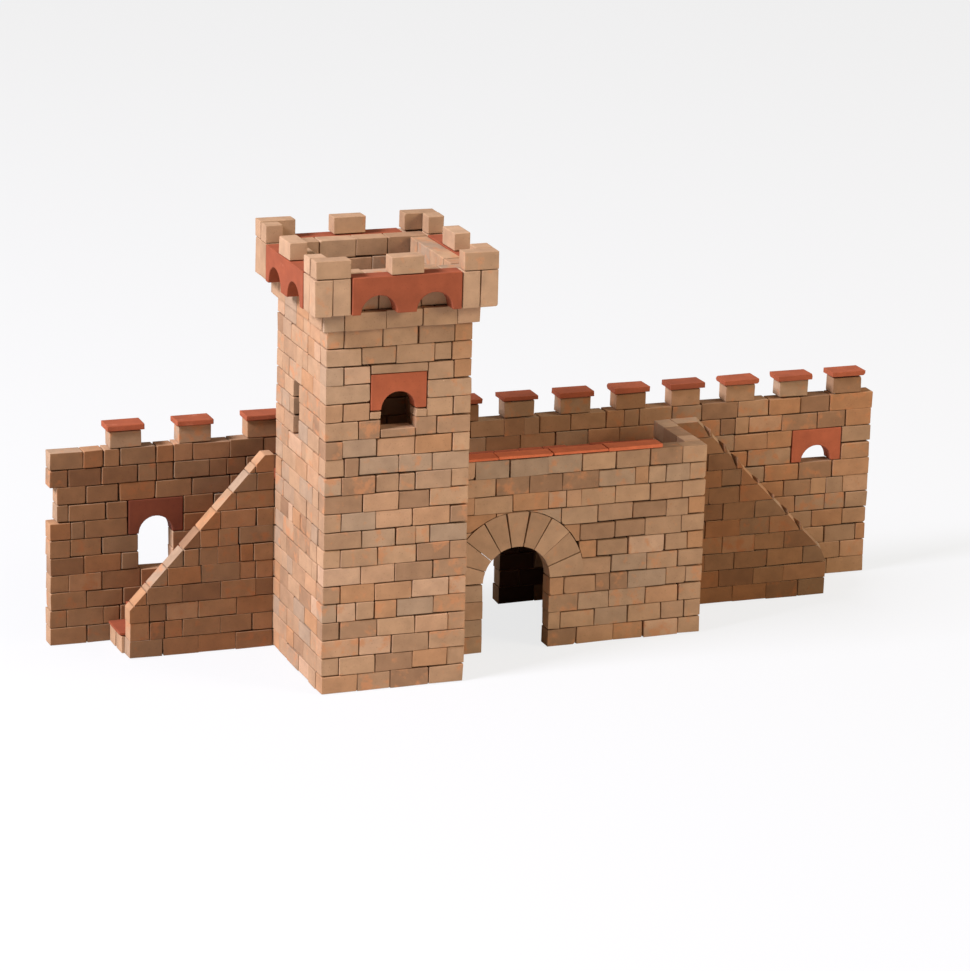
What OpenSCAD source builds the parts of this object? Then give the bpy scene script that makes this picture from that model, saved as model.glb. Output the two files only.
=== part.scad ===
// City wall gate: a ceramic-brick model kit of a walled gate. A square tower with a battlemented crown
// stands in front of a long city wall; a gate front with an arched passage joins the tower's right
// side, and a stair climbs to the wall walk at each end behind its own sloped parapet.
// Origin: on the ground, halfway along the city wall and halfway from the crown's front to the back of
// the merlon caps. X runs along the wall to the right, Y to the back, Z up. All sizes in millimetres.

/* [Bricks] */
// Height of one brick course, which is also the thickness of every wall
course = 7.5; // [5:0.5:15]

/* [City wall] */
// Length of the city wall from end to end
wall_length = 370; // [330:5:460]
// Courses in the city wall, the gate front and the stair parapets
wall_courses = 11; // [10:1:14]
// Depth of the broken notch at the wall's left end
end_notch = 3; // [1:0.5:8]
// Length of one merlon
merlon_length = 14; // [9:0.5:16]
// Distance from the wall's left end to its first merlon
merlon_first = 25; // [6:1:30]
// Spacing of the six merlons on the left
merlon_pitch_left = 29.4; // [24:0.2:29.6]
// Spacing of the seven merlons on the right
merlon_pitch_right = 25.5; // [20:0.5:26]
// Thickness of the red caps on the merlons
cap_thickness = 2.6; // [1.5:0.1:4]
// Overhang of a cap beyond its merlon
cap_overhang = 1.2; // [0.5:0.1:2]

/* [Tower] */
// Width of the tower's shaft
tower_width = 61; // [50:1:70]
// Depth of the tower's shaft
tower_depth = 63; // [50:1:75]
// Courses from the ground to the corbel course
shaft_courses = 20; // [19:1:26]
// Distance from the wall's left end to the tower's left face
tower_offset = 88; // [80:1:96]
// Projection of the corbel course
corbel_out = 2.2; // [1:0.2:4]
// Width of the legs at a panel's ends
panel_leg = 4; // [3:0.5:6]

/* [Gate] */
// Distance from the tower's front face to the gate's front face
gate_setback = 30; // [15:1:36]
// Length of the gate front to the right of the tower
gate_length = 117; // [90:1:130]
// Distance from the tower's right face to the middle of the arch
arch_offset = 33.5; // [33:0.5:40]
// Radius of the gate opening
arch_radius = 14.8; // [12:0.2:16]
// Depth of the arch stones
arch_ring = 15.2; // [12:0.2:16]
// Height of the arch's springing above the ground
arch_spring = 30; // [24:1:32]
// Number of arch stones
arch_stones = 9; // [7:2:11]
// Thickness of the red coping tiles
coping_thickness = 1.8; // [1:0.1:3]

/* [Windows] */
// Width of a red arch lintel
lintel_width = 24; // [22:0.5:28]
// Radius of the arch cut in a lintel
lintel_radius = 7.2; // [5:0.2:9]
// Middle of the left window, from the wall's left end
left_window_at = 45; // [40:1:52]
// Middle of the right window, from the wall's right end
right_window_at = 26; // [20:1:30]
// Middle of the tower's window, from the tower's left face
tower_window_at = 30.5; // [24:0.5:32]
// Height of the arrow slit
slit_height = 22.5; // [15:0.5:30]
// Width of the arrow slit
slit_width = 6.8; // [5:0.1:9]

/* [Stairs and wall walk] */
// Clear distance between a stair parapet and the city wall
stair_width = 17.2; // [14:0.2:20]
// Going of one step
step_run = 7.6; // [6.5:0.1:8]
// Height of a parapet's low end
parapet_low = 20.5; // [14:0.5:26]
// Courses under the wall walk
walk_courses = 9; // [8:1:9]
// Thickness of the wall walk's deck
deck_thickness = 4; // [3:0.5:6]
// Thickness of the red tiles on the stairs and the wall walk
tile_thickness = 1.9; // [1:0.1:3]

/* [Hidden] */
$fn = 64;

brick_color = "#B58A66";
pale_color = "#C79C7A";
red_color = "#B4502F";

wall_height = wall_courses * course;
shaft_height = shaft_courses * course;

// crown: the shaft runs on inside it for three courses above the corbel course's foot
crown_foot = shaft_height + course;
panel_height = 2 * course;
rim_height = crown_foot + panel_height;
corner_size = 2 * course;
corner_height = 3 * course;
panel_length_x = tower_width - 2 * course;
panel_length_y = tower_depth - 2 * course;

// places along X
left_end = -wall_length / 2;
right_end = wall_length / 2;
tower_left = left_end + tower_offset;
tower_right = tower_left + tower_width;
gate_right = tower_right + gate_length;
arch_x = tower_right + arch_offset;
arch_outer = arch_radius + arch_ring;
bay_margin = 4;
bay_left = arch_x - arch_outer - bay_margin;
bay_right = arch_x + arch_outer + bay_margin;
last_merlon = right_end - 5.7 - merlon_length;
coping_right = gate_right - 20;

// places along Y
total_depth = course + tower_depth + course + stair_width + course + cap_overhang;
crown_front = -total_depth / 2;
tower_front = crown_front + course;
tower_back = tower_front + tower_depth;
gate_front = tower_front + gate_setback;
gate_back = gate_front + course;
parapet_back = tower_back + course;
wall_front = parapet_back + stair_width;

// windows: each lintel is two courses high, its arch springs from its lower edge
lintel_height = 2 * course;
left_window_x = left_end + left_window_at;
left_window_spring = 6 * course;
left_window_sill = 4 * course;
right_window_x = right_end - right_window_at;
right_window_spring = 7 * course;
tower_window_x = tower_left + tower_window_at;
tower_window_spring = 15.5 * course;
tower_window_sill = 14.5 * course;
slit_y = tower_front + tower_depth * 0.59;
slit_sill = 13 * course;

// arch stones
stone_angle = 180 / arch_stones;
stone_gap = 0.3;

// stairs: the treads rise one course each up to the wall walk
step_count = walk_courses - 1;
deck_top = walk_courses * course;
stair_run = step_count * step_run;
left_stair_foot = tower_left - stair_run - 2;
left_stair_head = tower_left - 2;
right_stair_head = gate_right + 14;
right_stair_foot = right_stair_head + stair_run;
step_nosing = 0.8;
parapet_reveal = 1.5;
parapet_flat_left = 4;
parapet_flat_right = 12;

// ---------------------------------------------------------------- shared shapes

// stands an elevation drawn in X and Z upright, filling Y from y to y + depth
module stand(y, depth) {
    translate([0, y + depth, 0])
        rotate([90, 0, 0])
            linear_extrude(depth)
                children();
}

// the same for an elevation drawn in Y and Z, filling X from x to x + depth
module stand_side(x, depth) {
    translate([x, 0, 0])
        rotate([90, 0, 90])
            linear_extrude(depth)
                children();
}

// a block given by its lower corner and upper corner
module block(low, high) {
    translate(low)
        cube(high - low);
}

// a rectangle given by its lower and upper corner
module area(low, high) {
    translate(low)
        square(high - low);
}

// the hole left in a wall for a lintel and the window under it
module window_hole(x, sill, spring) {
    area([x - lintel_width / 2, spring], [x + lintel_width / 2, spring + lintel_height]);
    if (sill < spring)
        area([x - lintel_radius, sill], [x + lintel_radius, spring + 1]);
}

// red lintel cut from below by a half round
module window_lintel(x, spring, y) {
    color(red_color)
        stand(y, course)
            difference() {
                area([x - lintel_width / 2, spring], [x + lintel_width / 2, spring + lintel_height]);
                translate([x, spring])
                    circle(lintel_radius);
            }
}

// a wall elevation over the arch: the arch ring and the opening are cut away
module bay_elevation(left, right) {
    difference() {
        area([left, 0], [right, wall_height]);
        translate([arch_x, arch_spring])
            circle(arch_outer);
        area([arch_x - arch_outer, -1], [arch_x + arch_outer, arch_spring]);
    }
    for (side = [-1, 1])
        translate([arch_x + side * (arch_radius + arch_ring / 2) - arch_ring / 2, 0])
            square([arch_ring, arch_spring]);
}

// one arch stone, its middle at the given angle
module arch_stone(angle) {
    half = stone_angle / 2;
    reach = arch_outer * 1.2;
    trim = stone_gap / 2;
    intersection() {
        difference() {
            circle(arch_outer);
            circle(arch_radius);
        }
        rotate(angle)
            translate([trim / sin(half), 0])
                polygon([[0, 0], [reach, -reach * tan(half)], [reach, reach * tan(half)]]);
    }
}

// a ring of arch stones standing in the wall whose front is at y
module arch_ring_stones(y) {
    color(pale_color)
        for (i = [0 : arch_stones - 1])
            stand(y, course)
                translate([arch_x, arch_spring])
                    arch_stone((i + 0.5) * stone_angle);
}

// ---------------------------------------------------------------- tower

module tower_front_wall() {
    color(brick_color)
        stand(tower_front, course)
            difference() {
                area([tower_left, 0], [tower_right, rim_height]);
                window_hole(tower_window_x, tower_window_sill, tower_window_spring);
            }
}

module tower_back_wall() {
    color(brick_color)
        block([tower_left, tower_back - course, 0], [tower_right, tower_back, rim_height]);
}

module tower_left_wall() {
    color(brick_color)
        stand_side(tower_left, course)
            difference() {
                area([tower_front + course, 0], [tower_back - course, rim_height]);
                area([slit_y - slit_width / 2, slit_sill], [slit_y + slit_width / 2, slit_sill + slit_height]);
            }
}

module tower_right_wall() {
    color(brick_color)
        block([tower_right - course, tower_front + course, 0], [tower_right, tower_back - course, rim_height]);
}

module tower_window_lintel() {
    window_lintel(tower_window_x, tower_window_spring, tower_front);
}

// a ring one course high around the shaft, under the crown
module tower_corbel_course() {
    color(brick_color)
        difference() {
            block([tower_left - corbel_out, tower_front - corbel_out, shaft_height],
                  [tower_right + corbel_out, tower_back + corbel_out, crown_foot]);
            block([tower_left, tower_front, shaft_height - 1], [tower_right, tower_back, crown_foot + 1]);
        }
}

// L-shaped corner of the crown; sx and sy point outwards
module crown_corner(x, y, sx, sy) {
    color(pale_color)
        translate([x, y, crown_foot])
            mirror([sx > 0 ? 1 : 0, 0, 0])
                mirror([0, sy > 0 ? 1 : 0, 0])
                    difference() {
                        translate([-course, -course, 0])
                            cube([corner_size, corner_size, corner_height]);
                        translate([0, 0, -1])
                            cube([corner_size, corner_size, corner_height + 2]);
                    }
}

module crown_corner_front_left() { crown_corner(tower_left, tower_front, -1, -1); }
module crown_corner_front_right() { crown_corner(tower_right, tower_front, 1, -1); }
module crown_corner_back_left() { crown_corner(tower_left, tower_back, -1, 1); }
module crown_corner_back_right() { crown_corner(tower_right, tower_back, 1, 1); }

// scalloped panel drawn from its middle: a leg at each end, one twice as wide between two half rounds
module panel_outline(length) {
    scallop = length / 4 - panel_leg;
    difference() {
        area([-length / 2, crown_foot], [length / 2, rim_height]);
        for (side = [-1, 1])
            translate([side * length / 4, crown_foot])
                circle(scallop);
    }
}

module machicolation_front() {
    color(red_color)
        stand(tower_front - course, course)
            translate([(tower_left + tower_right) / 2, 0])
                panel_outline(panel_length_x);
}

module machicolation_back() {
    color(red_color)
        stand(tower_back, course)
            translate([(tower_left + tower_right) / 2, 0])
                panel_outline(panel_length_x);
}

module machicolation_left() {
    color(red_color)
        stand_side(tower_left - course, course)
            translate([(tower_front + tower_back) / 2, 0])
                panel_outline(panel_length_y);
}

module machicolation_right() {
    color(red_color)
        stand_side(tower_right, course)
            translate([(tower_front + tower_back) / 2, 0])
                panel_outline(panel_length_y);
}

// one merlon in the middle of each side of the crown
module crown_merlons() {
    middle = [(tower_left + tower_right) / 2, (tower_front + tower_back) / 2, rim_height];
    color(pale_color) {
        for (y = [tower_front - course, tower_back])
            translate([middle.x - merlon_length / 2, y, rim_height])
                cube([merlon_length, course, course]);
        for (x = [tower_left - course, tower_right])
            translate([x, middle.y - merlon_length / 2, rim_height])
                cube([course, merlon_length, course]);
    }
}

// ---------------------------------------------------------------- gate

module gate_bay_wall() {
    color(brick_color)
        stand(gate_front, course)
            bay_elevation(tower_right, bay_right);
}

module gate_arch() {
    arch_ring_stones(gate_front);
}

module gate_plain_wall() {
    color(brick_color)
        block([bay_right, gate_front, 0], [gate_right, gate_back, wall_height]);
}

module gate_side_wall() {
    color(brick_color)
        block([gate_right - course, gate_back, 0], [gate_right, parapet_back, wall_height]);
}

// a row of flat tiles along the gate front's top
module gate_coping() {
    tiles = 4;
    joint = 0.4;
    pitch = (coping_right - tower_right) / tiles;
    color(red_color)
        for (i = [0 : tiles - 1])
            translate([tower_right + i * pitch, gate_front, wall_height])
                cube([pitch - joint, course, coping_thickness]);
}

// ---------------------------------------------------------------- city wall

module city_wall_left() {
    color(brick_color)
        stand(wall_front, course)
            difference() {
                area([left_end, 0], [bay_left, wall_height]);
                window_hole(left_window_x, left_window_sill, left_window_spring);
                area([left_end - 1, 7 * course], [left_end + end_notch, 9 * course]);
            }
}

module city_wall_gate_bay() {
    color(brick_color)
        stand(wall_front, course)
            bay_elevation(bay_left, bay_right);
}

module city_wall_right() {
    color(brick_color)
        stand(wall_front, course)
            difference() {
                area([bay_right, 0], [right_end, wall_height]);
                window_hole(right_window_x, right_window_spring, right_window_spring);
            }
}

module rear_gate_arch() {
    arch_ring_stones(wall_front);
}

module left_window_lintel() {
    window_lintel(left_window_x, left_window_spring, wall_front);
}

module right_window_lintel() {
    window_lintel(right_window_x, right_window_spring, wall_front);
}

// where the merlons start along the wall, left group and right group
left_merlons = [for (i = [0 : 5]) left_end + merlon_first + i * merlon_pitch_left];
right_merlons = [for (i = [0 : 6]) last_merlon - i * merlon_pitch_right];

module wall_merlons(starts) {
    color(brick_color)
        for (x = starts)
            translate([x, wall_front, wall_height])
                cube([merlon_length, course, course]);
}

module merlon_caps(starts) {
    color(red_color)
        for (x = starts)
            translate([x - cap_overhang, wall_front - cap_overhang, wall_height + course])
                cube([merlon_length + 2 * cap_overhang, course + 2 * cap_overhang, cap_thickness]);
}

module city_wall_merlons_left() { wall_merlons(left_merlons); }
module city_wall_merlons_right() { wall_merlons(right_merlons); }
module merlon_caps_left() { merlon_caps(left_merlons); }
module merlon_caps_right() { merlon_caps(right_merlons); }

// ---------------------------------------------------------------- wall walk and stairs

// the wall walk in plan: behind the tower, over the passage and behind the gate's right corner
module walk_plan() {
    area([left_stair_head, parapet_back], [tower_right, wall_front]);
    area([tower_right, gate_back], [gate_right - course, wall_front]);
    area([gate_right - course, parapet_back], [right_stair_head, wall_front]);
}

module walk_support_wall() {
    color(brick_color)
        block([tower_left, tower_back, 0], [tower_right, parapet_back, deck_top + tile_thickness]);
}

module walk_deck() {
    color(brick_color)
        translate([0, 0, deck_top - deck_thickness])
            linear_extrude(deck_thickness)
                walk_plan();
}

module walk_tiles() {
    color(red_color)
        translate([0, 0, deck_top])
            linear_extrude(tile_thickness)
                walk_plan();
}

// a flight of solid steps that climbs from foot to head, and a block that carries the deck's end
module stair_steps(foot, head) {
    direction = sign(head - foot);
    color(brick_color)
        stand(parapet_back, stair_width) {
            for (i = [1 : step_count]) {
                start = foot + direction * (i - 1) * step_run;
                area([min(start, head), 0], [max(start, head), i * course]);
            }
            area([min(head, head + direction * course), 0],
                 [max(head, head + direction * course), deck_top - deck_thickness]);
        }
}

module stair_treads(foot, head) {
    direction = sign(head - foot);
    color(red_color)
        stand(parapet_back, stair_width)
            for (i = [1 : step_count]) {
                nose = foot + direction * ((i - 1) * step_run - step_nosing);
                back = foot + direction * i * step_run;
                area([min(nose, back), i * course], [max(nose, back), i * course + tile_thickness]);
            }
}

// a wall beside a flight: level next to the tower or gate, then sloping down to its low end
module stair_parapet(low_end, level_end, high_end) {
    color(brick_color)
        stand(tower_back, course)
            polygon([
                [low_end, 0], [high_end, 0], [high_end, wall_height],
                [level_end, wall_height], [low_end, parapet_low]
            ]);
}

module left_stair_parapet() {
    stair_parapet(left_stair_foot + parapet_reveal, tower_left - parapet_flat_left, tower_left);
}

module right_stair_parapet() {
    stair_parapet(right_stair_foot - parapet_reveal, gate_right + parapet_flat_right, gate_right);
}

module left_stair_steps() { stair_steps(left_stair_foot, left_stair_head); }
module right_stair_steps() { stair_steps(right_stair_foot, right_stair_head); }
module left_stair_treads() { stair_treads(left_stair_foot, left_stair_head); }
module right_stair_treads() { stair_treads(right_stair_foot, right_stair_head); }

tower_front_wall();
tower_left_wall();
tower_right_wall();
tower_back_wall();
tower_window_lintel();
tower_corbel_course();
crown_corner_front_left();
crown_corner_front_right();
crown_corner_back_left();
crown_corner_back_right();
machicolation_front();
machicolation_left();
machicolation_right();
machicolation_back();
crown_merlons();
gate_bay_wall();
gate_arch();
gate_plain_wall();
gate_side_wall();
gate_coping();
city_wall_left();
city_wall_gate_bay();
city_wall_right();
rear_gate_arch();
left_window_lintel();
right_window_lintel();
city_wall_merlons_left();
city_wall_merlons_right();
merlon_caps_left();
merlon_caps_right();
walk_support_wall();
walk_deck();
walk_tiles();
left_stair_parapet();
left_stair_steps();
left_stair_treads();
right_stair_parapet();
right_stair_steps();
right_stair_treads();
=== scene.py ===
import math
import random

import bmesh
import bpy
from mathutils import Matrix, Vector


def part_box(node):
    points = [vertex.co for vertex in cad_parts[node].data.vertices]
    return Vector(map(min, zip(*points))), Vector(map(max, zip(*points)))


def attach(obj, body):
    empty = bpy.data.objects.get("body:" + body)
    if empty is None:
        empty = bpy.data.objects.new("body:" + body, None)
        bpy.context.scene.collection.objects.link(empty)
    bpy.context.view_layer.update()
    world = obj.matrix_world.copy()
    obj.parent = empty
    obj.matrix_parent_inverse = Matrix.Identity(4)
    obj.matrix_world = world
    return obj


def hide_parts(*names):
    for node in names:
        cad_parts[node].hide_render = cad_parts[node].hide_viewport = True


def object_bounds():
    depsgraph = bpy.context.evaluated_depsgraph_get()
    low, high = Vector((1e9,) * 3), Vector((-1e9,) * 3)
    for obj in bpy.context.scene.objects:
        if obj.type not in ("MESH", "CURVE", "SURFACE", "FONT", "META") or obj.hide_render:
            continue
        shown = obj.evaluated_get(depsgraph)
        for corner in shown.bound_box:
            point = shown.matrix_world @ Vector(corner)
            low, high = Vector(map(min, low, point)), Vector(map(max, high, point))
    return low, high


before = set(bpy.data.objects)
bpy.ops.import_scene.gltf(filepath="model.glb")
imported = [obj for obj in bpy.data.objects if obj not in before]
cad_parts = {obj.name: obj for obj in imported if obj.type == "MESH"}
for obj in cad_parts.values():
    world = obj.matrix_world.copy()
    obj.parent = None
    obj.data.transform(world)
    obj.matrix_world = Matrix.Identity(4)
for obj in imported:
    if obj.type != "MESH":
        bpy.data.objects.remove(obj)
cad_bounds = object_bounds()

MM = 0.001

# ---------------------------------------------------------------- sizes from the frame

front_low, front_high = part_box("tower_front_wall")
back_low, back_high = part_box("tower_back_wall")
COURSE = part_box("crown_merlons")[1][2] - front_high[2]
BRICK = (front_high[0] - front_low[0]) / 4
JOINT = 0.40 * MM

tower_left, tower_right = front_low[0], front_high[0]
tower_front, tower_back = front_low[1], back_high[1]
rim = front_high[2]
shaft_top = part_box("tower_corbel_course")[0][2]
corbel_out = tower_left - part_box("tower_corbel_course")[0][0]

wall_low, wall_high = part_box("city_wall_left")
wall_left_end, wall_right_end = wall_low[0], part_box("city_wall_right")[1][0]
wall_front, wall_back = wall_low[1], wall_high[1]
wall_top = wall_high[2]

bay_left, bay_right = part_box("city_wall_gate_bay")[0][0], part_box("city_wall_gate_bay")[1][0]
gate_front, gate_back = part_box("gate_plain_wall")[0][1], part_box("gate_plain_wall")[1][1]
gate_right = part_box("gate_plain_wall")[1][0]
parapet_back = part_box("left_stair_parapet")[1][1]

arch_low, arch_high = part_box("gate_arch")
arch_x = (arch_low[0] + arch_high[0]) / 2
arch_spring = arch_low[2]
arch_outer = arch_high[2] - arch_spring
ARCH_STONES = 9
arch_ring = 2 * COURSE + 0.2 * MM
arch_inner = arch_outer - arch_ring

LINTEL_RADIUS = 7.2 * MM
SILL_LEFT = 4 * COURSE
SILL_TOWER = 14.5 * COURSE
SLIT_WIDTH = 6.8 * MM
SLIT_FOOT = 13 * COURSE
SLIT_TOP = 16 * COURSE
END_NOTCH = 3 * MM
STEPS = 8
PARAPET_LOW = 20.5 * MM
DECK_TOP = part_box("walk_deck")[1][2]


# ---------------------------------------------------------------- shared shader effects

def new_group(name, inputs, outputs):
    """An empty shader group with float or colour sockets, and its input and output nodes."""
    group = bpy.data.node_groups.new(name, "ShaderNodeTree")
    for socket, kind, value in inputs:
        made = group.interface.new_socket(socket, in_out="INPUT", socket_type=kind)
        made.default_value = value
    for socket, kind in outputs:
        group.interface.new_socket(socket, in_out="OUTPUT", socket_type=kind)
    return group, group.nodes.new("NodeGroupInput"), group.nodes.new("NodeGroupOutput")


def add_math(tree, operation, first, second=None, clamp=False):
    """A Math node fed by sockets or plain numbers; gives back its output."""
    node = tree.nodes.new("ShaderNodeMath")
    node.operation = operation
    node.use_clamp = clamp
    for slot_number, value in enumerate((first, second)):
        if value is None:
            continue
        if isinstance(value, (int, float)):
            node.inputs[slot_number].default_value = value
        else:
            tree.links.new(value, node.inputs[slot_number])
    return node.outputs[0]


def add_mix(tree, factor, first, second, blend="MIX"):
    """A colour Mix node fed by sockets, numbers or colours; gives back its output."""
    node = tree.nodes.new("ShaderNodeMix")
    node.data_type = "RGBA"
    node.blend_type = blend
    for socket, value in (("Factor", factor), ("A", first), ("B", second)):
        slot_index = {"Factor": 0, "A": 6, "B": 7}[socket]
        if isinstance(value, (int, float)):
            node.inputs[slot_index].default_value = value
        elif isinstance(value, tuple):
            node.inputs[slot_index].default_value = value
        else:
            tree.links.new(value, node.inputs[slot_index])
    return node.outputs[2]


def add_noise(tree, vector, scale, detail, roughness=0.55):
    """A noise texture; gives back its value output."""
    node = tree.nodes.new("ShaderNodeTexNoise")
    node.inputs["Detail"].default_value = detail
    node.inputs["Roughness"].default_value = roughness
    tree.links.new(vector, node.inputs["Vector"])
    if isinstance(scale, (int, float)):
        node.inputs["Scale"].default_value = scale
    else:
        tree.links.new(scale, node.inputs["Scale"])
    return node.outputs[0]


def add_ramp(tree, value, stops, mode="LINEAR"):
    """A colour ramp through (position, colour) stops; gives back its colour output."""
    node = tree.nodes.new("ShaderNodeValToRGB")
    node.color_ramp.interpolation = mode
    elements = node.color_ramp.elements
    while len(elements) < len(stops):
        elements.new(0.5)
    for element, (position, colour) in zip(elements, stops):
        element.position = position
        element.color = colour
    tree.links.new(value, node.inputs[0])
    return node.outputs[0]


def grey(value):
    return (value, value, value, 1.0)


def make_piece_group():
    """Each brick's own place in the grain, and two numbers of its own."""
    group, _, outputs = new_group(
        "brick_of_its_own", [],
        [("Place", "NodeSocketVector"), ("Tone", "NodeSocketFloat"), ("Bloom", "NodeSocketFloat")])
    geometry = group.nodes.new("ShaderNodeNewGeometry")
    coordinates = group.nodes.new("ShaderNodeTexCoord")
    own = geometry.outputs["Random Per Island"]
    scaled = group.nodes.new("ShaderNodeVectorMath")
    scaled.operation = "SCALE"
    scaled.inputs["Scale"].default_value = 1 / MM
    group.links.new(coordinates.outputs["Object"], scaled.inputs[0])
    shift = group.nodes.new("ShaderNodeVectorMath")
    shift.operation = "ADD"
    group.links.new(scaled.outputs[0], shift.inputs[0])
    group.links.new(add_math(group, "MULTIPLY", own, 173.0), shift.inputs[1])
    group.links.new(shift.outputs[0], outputs.inputs["Place"])
    group.links.new(add_math(group, "FRACT", add_math(group, "MULTIPLY", own, 13.7)), outputs.inputs["Tone"])
    group.links.new(add_math(group, "FRACT", add_math(group, "MULTIPLY", own, 71.3)), outputs.inputs["Bloom"])
    return group


def make_patch_group():
    """Soft-edged patches: 0 outside, 1 inside, the more of them the lower the threshold."""
    group, inputs, outputs = new_group(
        "fired_patches",
        [("Place", "NodeSocketVector", (0, 0, 0)), ("Scale", "NodeSocketFloat", 0.2),
         ("Threshold", "NodeSocketFloat", 0.6), ("Softness", "NodeSocketFloat", 0.1)],
        [("Mask", "NodeSocketFloat")])
    cloud = add_noise(group, inputs.outputs["Place"], inputs.outputs["Scale"], 3.0)
    above = add_math(group, "SUBTRACT", cloud, inputs.outputs["Threshold"])
    mask = add_math(group, "DIVIDE", above, inputs.outputs["Softness"], clamp=True)
    group.links.new(mask, outputs.inputs["Mask"])
    return group


def make_grain_group():
    """Surface height of a hand-cut clay face: sand, drag marks and pits."""
    group, inputs, outputs = new_group(
        "clay_grain",
        [("Place", "NodeSocketVector", (0, 0, 0)), ("Sand", "NodeSocketFloat", 1.0),
         ("Drag", "NodeSocketFloat", 0.5), ("Pits", "NodeSocketFloat", 0.5)],
        [("Height", "NodeSocketFloat"), ("Pit Mask", "NodeSocketFloat")])
    place = inputs.outputs["Place"]
    sand = add_math(group, "MULTIPLY", add_noise(group, place, 4.5, 4.0, 0.7), inputs.outputs["Sand"])
    stretched = group.nodes.new("ShaderNodeVectorMath")
    stretched.operation = "MULTIPLY"
    stretched.inputs[1].default_value = (0.35, 0.35, 3.2)
    group.links.new(place, stretched.inputs[0])
    drag = add_math(group, "MULTIPLY", add_noise(group, stretched.outputs[0], 0.9, 3.0), inputs.outputs["Drag"])
    holes = group.nodes.new("ShaderNodeTexVoronoi")
    holes.inputs["Scale"].default_value = 0.55
    group.links.new(place, holes.inputs["Vector"])
    near = add_math(group, "SUBTRACT", 0.2, holes.outputs["Distance"])
    pit = add_math(group, "MULTIPLY", near, 6.0, clamp=True)
    pit = add_math(group, "MULTIPLY", pit, inputs.outputs["Pits"])
    height = add_math(group, "SUBTRACT", add_math(group, "ADD", sand, drag), pit)
    group.links.new(height, outputs.inputs["Height"])
    group.links.new(pit, outputs.inputs["Pit Mask"])
    return group


def make_painted_shade_masks():
    """Masks for the faces turned to the front, and for those of them under a given height, where shade is painted into
    the clay.
    """
    group, inputs, outputs = new_group(
        "front_shade_masks", [("Height", "NodeSocketFloat", 0.0)],
        [("Front", "NodeSocketFloat"), ("Low Front", "NodeSocketFloat")])
    geometry = group.nodes.new("ShaderNodeNewGeometry")
    facing = group.nodes.new("ShaderNodeSeparateXYZ")
    group.links.new(geometry.outputs["Normal"], facing.inputs[0])
    turned = add_math(group, "SUBTRACT", add_math(group, "MULTIPLY", facing.outputs[1], -3.0), 1.2, clamp=True)
    coordinates = group.nodes.new("ShaderNodeTexCoord")
    place = group.nodes.new("ShaderNodeSeparateXYZ")
    group.links.new(coordinates.outputs["Object"], place.inputs[0])
    under = add_math(group, "SUBTRACT", inputs.outputs["Height"], place.outputs[2])
    low = add_math(group, "MULTIPLY", under, 300.0, clamp=True)
    group.links.new(turned, outputs.inputs["Front"])
    group.links.new(add_math(group, "MULTIPLY", turned, low), outputs.inputs["Low Front"])
    return group


PIECE_GROUP = make_piece_group()
PAINTED_SHADE_MASKS = make_painted_shade_masks()
PATCH_GROUP = make_patch_group()
GRAIN_GROUP = make_grain_group()


def add_group(tree, group, **values):
    """Places a shared effect in a material with its own values."""
    node = tree.nodes.new("ShaderNodeGroup")
    node.node_tree = group
    for socket, value in values.items():
        socket = socket.replace("_", " ")
        if isinstance(value, (int, float)):
            node.inputs[socket].default_value = value
        else:
            tree.links.new(value, node.inputs[socket])
    return node


def new_material(name, roughness):
    """A material with a plain Principled shader; gives back the material, its tree and the shader."""
    material = bpy.data.materials.new(name)
    material.use_nodes = True
    tree = material.node_tree
    shader = tree.nodes["Principled BSDF"]
    shader.inputs["Roughness"].default_value = roughness
    shader.inputs["Specular IOR Level"].default_value = 0.25
    return material, tree, shader


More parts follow.
